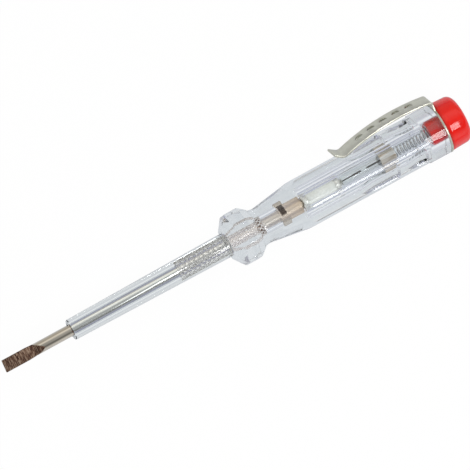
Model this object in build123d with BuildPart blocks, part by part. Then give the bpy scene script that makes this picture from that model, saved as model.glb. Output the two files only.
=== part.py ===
from build123d import *
import math
import os

# A mains voltage tester in the form of a small screwdriver. The rod of the blade runs through
# a clear sleeve into a clear moulded handle. Behind the rod the handle's chamber holds
# a resistor, a neon lamp and a coil spring in one line. A red cap closes the chamber and traps
# the ring of a pocket clip.
# +X runs from the blade's tip to the cap, +Z is up and the tool lies on a flat of its collar.

# Lengths along the axis, in millimetres
blade_reach = 20.3
sleeve_reach = 47.5
rod_seat = 22.9
resistor_length = 11.3
glass_length = 15.7
spring_room = 12.58
clip_sheet = 0.5
cap_length = 6.3

# Fits between pieces
face_play = 0.05
seat_play = 0.03
spigot_play = 0.05
chamber_play = 0.04
press_bite = 0.02
overrun = 1.0

# Blade
rod_radius = 1.6
tip_width = 3.5
tip_thickness = 0.6
tip_length = 9.3
tip_parallel_length = 7.0
grind_length = 3.0
tip_roll = 24.0
knurl_height = 0.05
knurl_length = 15.0
ear_span = 4.6
ear_thickness = 1.3
ear_length = 2.4
ear_to_rod_end = 4.4
ear_roll = 155.0
rod_end_chamfer = 0.2

# Insulating sleeve
sleeve_mouth_diameter = 5.8
sleeve_rear_diameter = 6.8
sleeve_play = 0.18
sleeve_seat_depth = 0.8
sleeve_mouth_chamfer = 0.2

# Handle, outside
flat_count = 8
collar_stand = 0.2
collar_lip = 0.5
collar_front_bevel = 2.8
collar_flat_length = 3.8
collar_rear_bevel = 2.3
collar_step = 0.45
waist_diameter = 10.0
waist_run = 3.8
waist_fillet = 4.5
waist_to_grip = 13.5
grip_fillet = 6.5
grip_diameter = 14.1
flat_depth = 0.3
plain_rear_length = 6.1
handle_rear_chamfer = 0.2

# Finger scallops: a blunt spindle cuts each one
scallop_depth = 0.75
scallop_radius = 5.0
scallop_long = 12.7
scallop_short = 7.4
scallop_land = 1.3
scallop_front_ramp = 4.2
scallop_rear_ramp = 1.3
scallop_rows = 4

# Handle, inside
relief_play = 0.3
relief_length = 5.3
socket_relief = 1.3

# Resistor
resistor_rod_radius = 2.3
resistor_cap_length = 1.3
resistor_cap_wall = 0.15
resistor_cap_chamfer = 0.12

# Neon lamp
button_radius = 1.1
button_thickness = 0.45
button_chamfer = 0.2
glass_radius = 2.5
glass_wall = 0.3
glass_front_fillet = 1.2
ferrule_gap = 0.55
ferrule_wall = 0.12
ferrule_length = 4.5
ferrule_rim_lip = 0.06
ferrule_rim_length = 0.5
ferrule_rim_chamfer = 0.2
pip_radius = 1.0
pip_height = 0.45
electrode_radius = 0.25
front_electrode_length = 6.3
front_electrode_bulb_radius = 0.45
front_electrode_bulb_length = 2.4
rear_electrode_spread = 1.6
rear_electrode_long = 8.2
rear_electrode_short = 5.6

# Contact spring
wire_radius = 0.17
wire_sides = 6
spring_radius = 2.05
spring_turns = 12
spring_end_play = 0.12

# Pocket clip: rises are measured from the round of the grip, places back from the ring's rear face
clip_roll = 31.0
clip_width = 5.0
ring_lip = 0.05
ring_play = 0.2
tab_straight = 0.2
flex_play = 0.03
bend_radius = 1.0
clip_shoulder_rise = 2.55
clip_crown_rise = 3.25
clip_crown_back = 11.2
clip_rest_gap = 0.07
clip_dip_back = 27.6
clip_dip_fillet = 1.4
clip_tip_rise = 2.25
clip_tip_reach = 2.3
moon_count = 5
moon_radius = 1.0
moon_pitch = 3.9
moon_first_back = 5.9
moon_slit = 0.22
moon_drop = 0.3

# End cap
cap_step = 0.15
cap_taper = 0.25
cap_edge_fillet = 1.9
spigot_radius = 3.45
spigot_length = 4.2
spigot_edge_chamfer = 0.4
hollow_play = 0.2
cap_hollow_depth = 2.4
dish_margin = 0.4
dish_depth = 0.5
rivet_head_radius = 2.6
rivet_head_chamfer = 0.15
rivet_shank_radius = 0.9
rivet_foot_play = 0.22
rivet_foot_height = 0.4

half = 0.5
full_turn = 360.0
quarter_turn = full_turn / 4
flat_step = full_turn / flat_count

# Radii that follow from the pieces they fit
grip_radius = grip_diameter * half
flat_height = grip_radius - flat_depth
knurl_radius = rod_radius + knurl_height
ferrule_bore_radius = glass_radius + seat_play
ferrule_radius = ferrule_bore_radius + ferrule_wall
ferrule_rim_radius = ferrule_radius + ferrule_rim_lip
chamber_radius = ferrule_rim_radius + chamber_play
cap_socket_radius = spigot_radius + spigot_play
cap_hollow_radius = spring_radius + wire_radius + hollow_play

# Stations along the axis, from the blade's tip
sleeve_front = blade_reach
handle_front = sleeve_front + sleeve_reach
rod_end = handle_front + rod_seat
resistor_front = rod_end + face_play
resistor_rear = resistor_front + resistor_length
button_front = resistor_rear + face_play
glass_front = button_front + button_thickness
glass_rear = glass_front + glass_length
ferrule_floor = glass_rear + ferrule_gap
ferrule_rear = ferrule_floor + ferrule_wall
ferrule_front = ferrule_rear - ferrule_length
foot_front = ferrule_rear + spring_room
foot_rear = foot_front + rivet_foot_height
spigot_front = foot_rear - cap_hollow_depth
cap_front = spigot_front + spigot_length
cap_end = cap_front + cap_length
ring_rear = cap_front - face_play
ring_front = ring_rear - clip_sheet
handle_rear = ring_front - face_play


def ring_plane(station):
    """Plane square to the axis at a station: its x is +Y and its y is +Z."""
    return Plane(origin=(station, 0, 0), x_dir=(0, 1, 0), z_dir=(1, 0, 0))


def axial_plane(roll):
    """Plane through the axis: its x is +X and its y points outward at the roll from +Y to +Z."""
    outward = (0, math.cos(math.radians(roll)), math.sin(math.radians(roll)))
    square = (0, -math.sin(math.radians(roll)), math.cos(math.radians(roll)))
    return Plane(origin=(0, 0, 0), x_dir=(1, 0, 0), z_dir=square)


os.makedirs("parts", exist_ok=True)

# Blade: a round rod with a ground tip, a knurled band in the sleeve and two pressed ears
knurl_front = handle_front - knurl_length
ear_rear = rod_end - ear_to_rod_end
ear_front = ear_rear - ear_length
with BuildPart() as blade:
    with BuildSketch(ring_plane(0)):
        Circle(rod_radius)
    extrude(amount=rod_end)
    chamfer(blade.edges().sort_by(Axis.X)[-1], rod_end_chamfer)
    with BuildSketch(axial_plane(quarter_turn + tip_roll)):
        with BuildLine():
            TangentArc(
                (tip_length + grind_length, rod_radius),
                (tip_length, tip_thickness * half),
                tangent=(-1, 0),
            )
            Polyline(
                (tip_length, tip_thickness * half),
                (-overrun, tip_thickness * half),
                (-overrun, rod_radius + overrun),
                (tip_length + grind_length, rod_radius + overrun),
                (tip_length + grind_length, rod_radius),
            )
        make_face()
        mirror(about=Plane.XZ)
    extrude(amount=rod_radius + overrun, both=True, mode=Mode.SUBTRACT)
    with BuildSketch(axial_plane(tip_roll)):
        with BuildLine():
            Polyline(
                (0, -tip_width * half),
                (tip_parallel_length, -tip_width * half),
                (tip_length, -rod_radius),
                (tip_length, rod_radius),
                (tip_parallel_length, tip_width * half),
                (0, tip_width * half),
                close=True,
            )
        make_face()
    extrude(amount=tip_thickness * half, both=True)
    with BuildSketch(ring_plane(knurl_front)):
        Circle(knurl_radius)
    extrude(amount=knurl_length)
    with BuildSketch(ring_plane(ear_front)):
        Rectangle(ear_span, ear_thickness, rotation=ear_roll)
    extrude(amount=ear_length)
blade.part.label = "blade"
export_step(blade.part, "parts/blade.step")

# Insulating sleeve: a tapered tube, loose on the plain rod and tight on the knurled band
sleeve_rear = handle_front + sleeve_seat_depth - face_play
with BuildPart() as insulating_sleeve:
    with BuildSketch(Plane.XY):
        with BuildLine():
            Polyline(
                (sleeve_front, rod_radius + sleeve_play),
                (sleeve_front, sleeve_mouth_diameter * half),
                (handle_front, sleeve_rear_diameter * half),
                (sleeve_rear, sleeve_rear_diameter * half),
                (sleeve_rear, knurl_radius - press_bite),
                (knurl_front, knurl_radius - press_bite),
                (knurl_front, rod_radius + sleeve_play),
                close=True,
            )
        make_face()
    revolve(axis=Axis.X)
    mouth_edges = insulating_sleeve.edges().filter_by(GeomType.CIRCLE).group_by(Axis.X)[0]
    chamfer(mouth_edges.sort_by(SortBy.RADIUS)[-1], sleeve_mouth_chamfer)
insulating_sleeve.part.label = "insulating_sleeve"
export_step(insulating_sleeve.part, "parts/insulating_sleeve.step")

# Handle: a turned body joined to an octagonal collar, with eight flats and eight scallops on the grip
collar_across_flats = grip_diameter + 2 * collar_stand
collar_face_size = sleeve_rear_diameter + 2 * (seat_play + collar_lip)
collar_rear_size = waist_diameter + 2 * collar_step
collar_flat_front = handle_front + collar_front_bevel
collar_flat_rear = collar_flat_front + collar_flat_length
collar_rear = collar_flat_rear + collar_rear_bevel
waist = collar_flat_rear + waist_run
grip_front = waist + waist_to_grip
flats_rear = handle_rear - plain_rear_length
chamber_front = rod_end
socket_front = spigot_front - socket_relief
relief_rear = ear_front
relief_front = relief_rear - relief_length


def octagon(across_flats, mode=Mode.ADD):
    """Octagon with a flat facing down."""
    return RegularPolygon(
        across_flats * half,
        flat_count,
        major_radius=False,
        rotation=flat_step * half,
        mode=mode,
    )


def scallop_profile(front, length, flat_height):
    """Half outline of the blunt spindle that cuts one scallop into a flat at that height."""
    middle = flat_height + scallop_radius - scallop_depth
    floor = middle - scallop_radius
    rear = front + length
    Polyline(
        (front, middle),
        (front, flat_height),
        (front + scallop_front_ramp, floor),
        (rear - scallop_rear_ramp, floor),
        (rear, flat_height),
        (rear, middle),
        close=True,
    )


with BuildPart() as handle:
    with BuildSketch(Plane.XY) as turned_outline:
        with BuildLine():
            Polyline(
                (handle_rear, 0),
                (collar_flat_front, 0),
                (collar_flat_front, collar_rear_size * half),
                (collar_rear, collar_rear_size * half),
                (waist, waist_diameter * half),
                (grip_front, grip_radius),
                (handle_rear, grip_radius),
                close=True,
            )
        make_face()
        for station, radius, rounding in (
            (waist, waist_diameter * half, waist_fillet),
            (grip_front, grip_radius, grip_fillet),
        ):
            corner = turned_outline.vertices().sort_by_distance((station, radius))[0]
            fillet(corner, rounding)
    revolve(axis=Axis.X)
    chamfer(handle.edges().sort_by(Axis.X)[-1], handle_rear_chamfer)
    # Flats of the grip, cut back from the round as far as the plain rear stretch
    with BuildSketch(ring_plane(waist)):
        Circle(grip_diameter)
        octagon(2 * flat_height, Mode.SUBTRACT)
    extrude(amount=flats_rear - waist, mode=Mode.SUBTRACT)
    # Collar: an octagon with a bevel at each end
    for front, front_size, rear, rear_size in (
        (handle_front, collar_face_size, collar_flat_front, collar_across_flats),
        (collar_flat_front, collar_across_flats, collar_flat_rear, collar_across_flats),
        (collar_flat_rear, collar_across_flats, collar_rear, collar_rear_size),
    ):
        with BuildSketch(ring_plane(front)):
            octagon(front_size)
        with BuildSketch(ring_plane(rear)):
            octagon(rear_size)
        loft(ruled=True)
    # Finger scallops, a long and a short one on every other flat
    scallop_rear = flats_rear - scallop_land * half
    short_front = scallop_rear - scallop_short
    long_front = short_front - scallop_land - scallop_long
    for row in range(scallop_rows):
        lengthwise = axial_plane(flat_step + row * full_turn / scallop_rows)
        spindle_height = flat_height + scallop_radius - scallop_depth
        spindle_axis = Axis(lengthwise.from_local_coords((0, spindle_height, 0)), (1, 0, 0))
        for front, length in ((long_front, scallop_long), (short_front, scallop_short)):
            with BuildSketch(lengthwise):
                with BuildLine():
                    scallop_profile(front, length, flat_height)
                make_face()
            revolve(axis=spindle_axis, mode=Mode.SUBTRACT)
    # Inside: seat of the sleeve, hole that grips the rod, relief, ear pocket, chamber and cap socket
    for front, rear, radius in (
        (handle_front, handle_front + sleeve_seat_depth, sleeve_rear_diameter * half + seat_play),
        (handle_front, rod_end, rod_radius - press_bite),
        (relief_front, relief_rear, rod_radius + relief_play),
        (chamber_front, handle_rear, chamber_radius),
        (socket_front, handle_rear, cap_socket_radius),
    ):
        with BuildSketch(ring_plane(front)):
            Circle(radius)
        extrude(amount=rear - front, mode=Mode.SUBTRACT)
    with BuildSketch(ring_plane(ear_front)):
        Rectangle(ear_span - press_bite, ear_thickness - press_bite, rotation=ear_roll)
    extrude(amount=ear_length, mode=Mode.SUBTRACT)
handle.part.label = "handle"
export_step(handle.part, "parts/handle.step")

# Resistor: a ceramic rod with a pressed metal cap on each end
with BuildPart() as resistor_rod:
    with BuildSketch(ring_plane(resistor_front + resistor_cap_wall)):
        Circle(resistor_rod_radius)
    extrude(amount=resistor_length - 2 * resistor_cap_wall)
resistor_rod.part.label = "resistor_rod"
export_step(resistor_rod.part, "parts/resistor_rod.step")

for label, end, inward in (
    ("resistor_ferrule_front", resistor_front, 1),
    ("resistor_ferrule_rear", resistor_rear, -1),
):
    with BuildPart() as resistor_ferrule:
        with BuildSketch(ring_plane(end)):
            Circle(resistor_rod_radius + resistor_cap_wall)
        extrude(amount=inward * resistor_cap_length)
        end_edges = resistor_ferrule.edges().sort_by(Axis.X)
        chamfer(end_edges[0] if inward > 0 else end_edges[-1], resistor_cap_chamfer)
        with BuildSketch(ring_plane(end + inward * resistor_cap_wall)):
            Circle(resistor_rod_radius)
        extrude(amount=inward * resistor_cap_length, mode=Mode.SUBTRACT)
    resistor_ferrule.part.label = label
    export_step(resistor_ferrule.part, f"parts/{label}.step")

# Neon lamp: contact button, glass tube, two electrodes, ferrule and solder pip
with BuildPart() as lamp_front_contact:
    with BuildSketch(ring_plane(button_front)):
        Circle(button_radius)
    extrude(amount=button_thickness)
    chamfer(lamp_front_contact.edges().sort_by(Axis.X)[0], button_chamfer)
lamp_front_contact.part.label = "lamp_front_contact"
export_step(lamp_front_contact.part, "parts/lamp_front_contact.step")

with BuildPart() as lamp_glass:
    with BuildSketch(Plane.XY):
        with BuildLine():
            Polyline(
                (glass_rear, 0),
                (glass_rear, glass_radius),
                (glass_front + glass_front_fillet, glass_radius),
            )
            TangentArc(
                (glass_front + glass_front_fillet, glass_radius),
                (glass_front, glass_radius - glass_front_fillet),
                tangent=(-1, 0),
            )
            Polyline(
                (glass_front, glass_radius - glass_front_fillet),
                (glass_front, 0),
                (glass_front + glass_wall, 0),
                (glass_front + glass_wall, glass_radius - glass_front_fillet),
                (glass_front + glass_front_fillet, glass_radius - glass_wall),
                (ferrule_front, glass_radius - glass_wall),
                (ferrule_front, 0),
                (glass_rear, 0),
            )
        make_face()
    revolve(axis=Axis.X)
    with BuildSketch(ring_plane(glass_front)):
        Circle(electrode_radius)
    extrude(amount=glass_wall, mode=Mode.SUBTRACT)
    with BuildSketch(ring_plane(ferrule_front)):
        with Locations((0, rear_electrode_spread), (0, -rear_electrode_spread)):
            Circle(electrode_radius)
    extrude(amount=glass_rear - ferrule_front, mode=Mode.SUBTRACT)
lamp_glass.part.label = "lamp_glass"
export_step(lamp_glass.part, "parts/lamp_glass.step")

bulb_rear = glass_front + front_electrode_length
with BuildPart() as lamp_electrode_front:
    with BuildSketch(ring_plane(glass_front)):
        Circle(electrode_radius)
    extrude(amount=front_electrode_length)
    with BuildSketch(ring_plane(bulb_rear - front_electrode_bulb_length)):
        Circle(front_electrode_bulb_radius)
    extrude(amount=front_electrode_bulb_length)
lamp_electrode_front.part.label = "lamp_electrode_front"
export_step(lamp_electrode_front.part, "parts/lamp_electrode_front.step")

fork_bar = glass_rear + ferrule_gap * half
with BuildPart() as lamp_electrode_rear:
    for side, leg_length in ((1, rear_electrode_long), (-1, rear_electrode_short)):
        with BuildSketch(ring_plane(fork_bar - leg_length)):
            with Locations((0, side * rear_electrode_spread)):
                Circle(electrode_radius)
        extrude(amount=leg_length + electrode_radius)
    with BuildSketch(Plane(origin=(fork_bar, 0, 0), z_dir=(0, 0, 1))):
        Circle(electrode_radius)
    extrude(amount=rear_electrode_spread, both=True)
lamp_electrode_rear.part.label = "lamp_electrode_rear"
export_step(lamp_electrode_rear.part, "parts/lamp_electrode_rear.step")

with BuildPart() as lamp_ferrule:
    with BuildSketch(ring_plane(ferrule_front)):
        Circle(ferrule_radius)
    extrude(amount=ferrule_length)
    with BuildSketch(ring_plane(ferrule_rear - ferrule_rim_length)):
        Circle(ferrule_rim_radius)
    extrude(amount=ferrule_rim_length)
    rim_edges = lamp_ferrule.edges().filter_by(GeomType.CIRCLE).sort_by(Axis.X)
    chamfer(rim_edges[-1], ferrule_rim_chamfer)
    with BuildSketch(ring_plane(ferrule_front)):
        Circle(ferrule_bore_radius)
    extrude(amount=ferrule_floor - ferrule_front, mode=Mode.SUBTRACT)
lamp_ferrule.part.label = "lamp_ferrule"
export_step(lamp_ferrule.part, "parts/lamp_ferrule.step")

with BuildPart() as lamp_solder_pip:
    with BuildSketch(Plane.XY):
        with BuildLine():
            Line((ferrule_rear, 0), (ferrule_rear, pip_radius))
            TangentArc(
                (ferrule_rear + pip_height, 0),
                (ferrule_rear, pip_radius),
                tangent=(0, 1),
            )
            Line((ferrule_rear + pip_height, 0), (ferrule_rear, 0))
        make_face()
    revolve(axis=Axis.X)
lamp_solder_pip.part.label = "lamp_solder_pip"
export_step(lamp_solder_pip.part, "parts/lamp_solder_pip.step")

# Contact spring: one open coil of round wire, its turns drawn as pairs of tangent arcs
spring_front = ferrule_rear + spring_end_play + wire_radius
spring_rear = foot_front - spring_end_play - wire_radius
spring_pitch = (spring_rear - spring_front) / spring_turns
steps_per_turn = 2


def coil_point(turn):
    """Point on the spring's centre line after that many turns."""
    angle = math.radians(full_turn) * turn
    station = spring_front + spring_pitch * turn
    return Vector(station, spring_radius * math.cos(angle), spring_radius * math.sin(angle))


def coil_tangent(turn):
    """Direction of the wire at that many turns."""
    angle = math.radians(full_turn) * turn
    around = math.radians(full_turn) * spring_radius
    return Vector(spring_pitch, -around * math.sin(angle), around * math.cos(angle)).normalized()


def biarc(start, start_way, end, end_way):
    """Two tangent arcs that join two points with given directions."""
    chord = end - start
    both_ways = start_way + end_way
    spread = 2 * (1 - start_way.dot(end_way))
    reach_root = math.sqrt(chord.dot(both_ways) ** 2 + spread * chord.dot(chord))
    reach = (reach_root - chord.dot(both_ways)) / spread
    first_corner = start + start_way * reach
    last_corner = end - end_way * reach
    joint = (first_corner + last_corner) * half
    TangentArc(start, joint, tangent=start_way)
    TangentArc(joint, end, tangent=last_corner - first_corner)


with BuildPart() as contact_spring:
    with BuildLine() as coil:
        for step in range(spring_turns * steps_per_turn):
            turn = step / steps_per_turn
            next_turn = (step + 1) / steps_per_turn
            biarc(coil_point(turn), coil_tangent(turn), coil_point(next_turn), coil_tangent(next_turn))
    with BuildSketch(Plane(coil.line @ 0, z_dir=coil.line % 0)):
        RegularPolygon(wire_radius, wire_sides)
    sweep(path=coil.line)
contact_spring.part.label = "contact_spring"
export_step(contact_spring.part, "parts/contact_spring.step")
samples_per_turn = 24
coil_samples = [coil_point(n / samples_per_turn) for n in range(spring_turns * samples_per_turn)]
least_gap = min(
    (later - earlier).length - 2 * wire_radius
    for index, earlier in enumerate(coil_samples)
    for later in coil_samples[index + samples_per_turn // 2:]
)
print("contact_spring least gap to itself, mm:", round(least_gap, 3))

shoulder_radius = grip_radius + clip_shoulder_rise
tab_radius = shoulder_radius - bend_radius - tab_straight

# Pocket clip: a washer with a bent-up tab, and the bowed arm that springs from the tab
with BuildPart() as clip_ring:
    with BuildSketch(ring_plane(ring_front)):
        Circle(grip_radius + ring_lip)
        Rectangle(
            tab_radius,
            clip_width,
            rotation=clip_roll,
            align=(Align.MIN, Align.CENTER),
        )
        Circle(spigot_radius + ring_play, mode=Mode.SUBTRACT)
    extrude(amount=clip_sheet)
clip_ring.part.label = "clip_ring"
export_step(clip_ring.part, "parts/clip_ring.step")

arm_plane = axial_plane(clip_roll)
shoulder = (ring_rear - bend_radius, shoulder_radius)
crown = (ring_rear - clip_crown_back, grip_radius + clip_crown_rise)
dip = (ring_rear - clip_dip_back, grip_radius + clip_rest_gap + clip_sheet)
arm_tip = (ring_rear - clip_dip_back - clip_tip_reach, grip_radius + clip_tip_rise)
with BuildPart() as clip_arm:
    with BuildSketch(arm_plane):
        with BuildLine() as arm_outline:
            Line((ring_rear, tab_radius + flex_play), (ring_rear, shoulder_radius - bend_radius))
            TangentArc(
                (ring_rear, shoulder_radius - bend_radius),
                shoulder,
                tangent=(0, 1),
            )
            bow = ThreePointArc(shoulder, crown, dip)
            Line(dip, arm_tip)
            fillet(arm_outline.vertices().sort_by_distance(dip)[0], clip_dip_fillet)
            offset(amount=clip_sheet, side=Side.LEFT)
        make_face()
    extrude(amount=clip_width * half, both=True)
    # Half-moons: each is cut free along its arc and pressed in along its chord
    bow_centre = bow.arc_center
    for moon in range(moon_count):
        station = ring_rear - moon_first_back - moon * moon_pitch
        rise = math.sqrt(bow.radius ** 2 - (station - bow_centre.X) ** 2)
        on_arm = arm_plane.from_local_coords((station, bow_centre.Y + rise, 0))
        outward = arm_plane.y_dir
        moon_plane = Plane(origin=on_arm, x_dir=(1, 0, 0), z_dir=outward)
        with BuildSketch(moon_plane):
            Circle(moon_radius + moon_slit)
            Rectangle(
                2 * (moon_radius + moon_slit),
                moon_radius + moon_slit,
                align=(Align.CENTER, Align.MAX),
                mode=Mode.SUBTRACT,
            )
        extrude(amount=2 * clip_sheet, both=True, mode=Mode.SUBTRACT)
        tongue_tilt = -math.degrees(math.asin(moon_drop / moon_radius))
        with BuildSketch(moon_plane.rotated((tongue_tilt, 0, 0))):
            Circle(moon_radius)
            Rectangle(
                2 * moon_radius,
                moon_radius,
                align=(Align.CENTER, Align.MAX),
                mode=Mode.SUBTRACT,
            )
        extrude(amount=-clip_sheet)
clip_arm.part.label = "clip_arm"
export_step(clip_arm.part, "parts/clip_arm.step")

# End cap: a red plug with a hollow spigot, and the touch rivet through its end
dish_floor = cap_end - dish_depth
with BuildPart() as end_cap:
    with BuildSketch(Plane.XY):
        with BuildLine():
            Polyline(
                (spigot_front, 0),
                (spigot_front, spigot_radius),
                (cap_front, spigot_radius),
                (cap_front, grip_radius - cap_step),
                (cap_end, grip_radius - cap_step - cap_taper),
                (cap_end, 0),
                close=True,
            )
        make_face()
    revolve(axis=Axis.X)
    cap_edges = end_cap.edges().filter_by(GeomType.CIRCLE).sort_by(Axis.X)
    chamfer(cap_edges[0], spigot_edge_chamfer)
    fillet(cap_edges[-1], cap_edge_fillet)
    for front, rear, radius in (
        (spigot_front, foot_rear, cap_hollow_radius),
        (foot_rear, dish_floor, rivet_shank_radius),
        (dish_floor, cap_end, rivet_head_radius + dish_margin),
    ):
        with BuildSketch(ring_plane(front)):
            Circle(radius)
        extrude(amount=rear - front, mode=Mode.SUBTRACT)
end_cap.part.label = "end_cap"
export_step(end_cap.part, "parts/end_cap.step")

with BuildPart() as touch_contact:
    for front, rear, radius in (
        (foot_front, foot_rear, cap_hollow_radius - rivet_foot_play),
        (foot_rear, dish_floor, rivet_shank_radius),
        (dish_floor, cap_end, rivet_head_radius),
    ):
        with BuildSketch(ring_plane(front)):
            Circle(radius)
        extrude(amount=rear - front)
    chamfer(touch_contact.edges().sort_by(Axis.X)[-1], rivet_head_chamfer)
touch_contact.part.label = "touch_contact"
export_step(touch_contact.part, "parts/touch_contact.step")
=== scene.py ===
import math

import bpy
from mathutils import Matrix, Vector


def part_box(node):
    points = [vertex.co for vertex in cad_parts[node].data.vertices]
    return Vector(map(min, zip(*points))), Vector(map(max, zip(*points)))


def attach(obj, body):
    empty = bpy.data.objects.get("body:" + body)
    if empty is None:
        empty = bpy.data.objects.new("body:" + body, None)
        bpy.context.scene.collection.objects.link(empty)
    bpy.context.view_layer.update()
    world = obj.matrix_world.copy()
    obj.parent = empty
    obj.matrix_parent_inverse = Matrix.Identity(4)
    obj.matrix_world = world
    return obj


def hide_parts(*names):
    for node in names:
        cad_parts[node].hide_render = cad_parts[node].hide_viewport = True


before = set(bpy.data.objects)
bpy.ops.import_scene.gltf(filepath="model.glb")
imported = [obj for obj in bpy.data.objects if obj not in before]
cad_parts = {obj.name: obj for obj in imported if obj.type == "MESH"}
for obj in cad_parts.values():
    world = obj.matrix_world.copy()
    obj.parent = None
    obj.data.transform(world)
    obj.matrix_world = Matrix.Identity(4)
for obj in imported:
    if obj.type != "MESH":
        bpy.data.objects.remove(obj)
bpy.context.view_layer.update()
bpy.ops.object.select_all(action="DESELECT")

mm = 0.001
half_turn = math.pi
full_turn = 2 * math.pi

# Sizes of the pieces, in metres
rod_radius = 1.6 * mm
tip_width = 3.5 * mm
tip_thickness = 0.6 * mm
tip_length = 9.3 * mm
tip_parallel_length = 7.0 * mm
grind_length = 3.0 * mm
tip_roll = math.radians(24)
tip_edge_round = 0.06 * mm
rod_end_chamfer = 0.2 * mm
knurl_length = 15.0 * mm
knurl_in_handle = 11.0 * mm
knurl_base_radius = 1.58 * mm
knurl_crest_radius = 1.76 * mm
knurl_ridge_width = 0.46 * mm
knurl_lead_angle = math.radians(30)
knurl_starts = 12
knurl_step = 0.3 * mm

sleeve_mouth_radius = 2.9 * mm
sleeve_mouth_chamfer = 0.2 * mm
sleeve_play = 0.18 * mm
sleeve_seat_depth = 0.8 * mm
wet_bore_radius = 1.56 * mm

collar_half_height = 7.25 * mm
collar_face_half_height = 3.93 * mm
collar_rear_half_height = 5.45 * mm
collar_front_bevel = 2.8 * mm
collar_flat_length = 3.8 * mm
collar_rear_bevel = 2.3 * mm
collar_edge_round = 0.25 * mm
grip_edge_round = 0.1 * mm
waist_radius = 5.0 * mm
waist_run = 3.8 * mm
waist_fillet = 4.5 * mm
waist_to_grip = 13.5 * mm
grip_fillet = 6.5 * mm
grip_radius = 7.05 * mm
flat_height = 6.75 * mm
plain_rear_length = 6.1 * mm
handle_rear_chamfer = 0.2 * mm
flat_count = 8

scallop_depth = 0.75 * mm
scallop_radius = 5.0 * mm
scallop_long = 12.7 * mm
scallop_short = 7.4 * mm
scallop_land = 1.3 * mm
scallop_front_ramp = 4.2 * mm
scallop_rear_ramp = 0.6 * mm
scallop_rows = 4

seat_play = 0.03 * mm
relief_radius = 1.9 * mm
relief_length = 5.3 * mm
ear_span = 4.6 * mm
ear_thickness = 1.3 * mm
ear_length = 2.4 * mm
ear_roll = math.radians(155)
ear_edge_round = 0.15 * mm
ear_to_rod_end = 4.4 * mm
chamber_radius = 2.75 * mm
socket_radius = 3.5 * mm
socket_relief = 1.3 * mm

glass_wall = 0.3 * mm
glass_front_fillet = 1.2 * mm

spring_radius = 2.05 * mm
wire_radius = 0.17 * mm
wire_sides = 12
spring_turns = 12
spring_steps_per_turn = 36

clip_edge_round = 0.06 * mm

overrun = 1.0 * mm
round_segments = 128
run_out_segments = 8 * round_segments
arc_steps = 10
bevel_segments = 2
merge_distance = 0.001 * mm
flat_angle = math.radians(1)
crease_angle = math.radians(9)
soft_crease_angle = math.radians(30)

# Stations along the axis, and sizes of pieces that others fit, read from the frame
sleeve_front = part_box("insulating_sleeve")[0].x
handle_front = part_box("handle")[0].x
handle_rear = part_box("handle")[1].x
rod_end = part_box("blade")[1].x
cap_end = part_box("end_cap")[1].x
spigot_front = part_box("end_cap")[0].x
glass_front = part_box("lamp_glass")[0].x
glass_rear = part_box("lamp_glass")[1].x
ferrule_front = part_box("lamp_ferrule")[0].x
sleeve_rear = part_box("insulating_sleeve")[1].x
sleeve_rear_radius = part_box("insulating_sleeve")[1].z
glass_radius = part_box("lamp_glass")[1].z
table_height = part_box("handle")[0].z

# Stations worked out from these
knurl_front = handle_front - knurl_length
ear_rear = rod_end - ear_to_rod_end
ear_front = ear_rear - ear_length
ear_middle = (ear_front + ear_rear) / 2
relief_front = ear_front - relief_length
collar_flat_front = handle_front + collar_front_bevel
collar_flat_rear = collar_flat_front + collar_flat_length
waist = collar_flat_rear + waist_run
flats_rear = handle_rear - plain_rear_length

# How materials vary: the span in which a noise texture's values mostly lie, the change of gloss over
# a metal, and how strongly each surface's relief shades it
noise_low = 0.3
noise_high = 0.7
gloss_variation = 0.2
metal_bump = 0.2
blade_bump = 0.05
plastic_bump = 0.15
clear_bump = 0.005
moulded_ior = 1.5

# The blade's finish. The draw lines and the wheel's lines are finer on the real one, and are drawn
# as coarse as they need to show.
draw_line_cell = (7.0 * mm, 0.18 * mm, 0.18 * mm)
wheel_line_cell = (0.2 * mm, 1.6 * mm, 1.6 * mm)
wheel_line_tones = ((0.36, "#43302a"), (0.5, "#765c4c"), (0.64, "#a08c7a"))
line_relief = 0.02 * mm
bright_roughness = 0.045
dull_roughness = 0.26
ground_roughness = 0.6
dull_metallic = 0.6
ground_below_skin = 0.03 * mm
ears_above_skin = 0.05 * mm
# How unevenly the painted tones inside the handle lie along the rod
painted_tone_unevenness = 4.0 * mm
# The patch of painted shade beside the ears: its reach along the rod, and its edge across it
ear_shade_reach = 0.8 * mm
ear_shade_edge = (-0.6 * mm, -0.1 * mm)
# Tones along the rod inside the handle: painted pale as painted light, with a band of painted shade where the
# relief begins, and browner towards the rod's end
painted_tones_in_handle = (
    (handle_front, "#e6dedb"),
    (relief_front - 3.8 * mm, "#e5dcd6"),
    (relief_front - 2.4 * mm, "#9a877a"),
    (relief_front - 1.0 * mm, "#5f4d42"),
    (relief_front - 0.1 * mm, "#e4dad2"),
    (rod_end, "#d2bfa9"),
)


def linear(hex_colour):
    """An sRGB hex colour as the linear colour that a shader takes."""
    parts = [int(hex_colour[i:i + 2], 16) / 255 for i in (1, 3, 5)]
    return [p / 12.92 if p <= 0.04045 else ((p + 0.055) / 1.055) ** 2.4 for p in parts] + [1]


def add_node(tree, kind, inputs=None, **settings):
    """Adds one node with its settings. Each input is a value, or a socket to link."""
    made = tree.nodes.new(kind)
    for name, value in settings.items():
        setattr(made, name, value)
    for name, value in (inputs or {}).items():
        if isinstance(value, bpy.types.NodeSocket):
            tree.links.new(value, made.inputs[name])
        else:
            made.inputs[name].default_value = value
    return made


def new_material(name):
    """A material with an empty node tree, and the tree."""
    material = bpy.data.materials.new(name)
    material.use_nodes = True
    material.node_tree.nodes.clear()
    return material, material.node_tree


def pattern_place(tree, cell):
    """Object coordinates in cells of the given size, in metres along X, Y and Z."""
    coordinates = add_node(tree, "ShaderNodeTexCoord")
    scale = [1 / size for size in cell]
    mapping = add_node(tree, "ShaderNodeMapping", {"Vector": coordinates.outputs["Object"], "Scale": scale})
    return mapping.outputs["Vector"]


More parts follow.
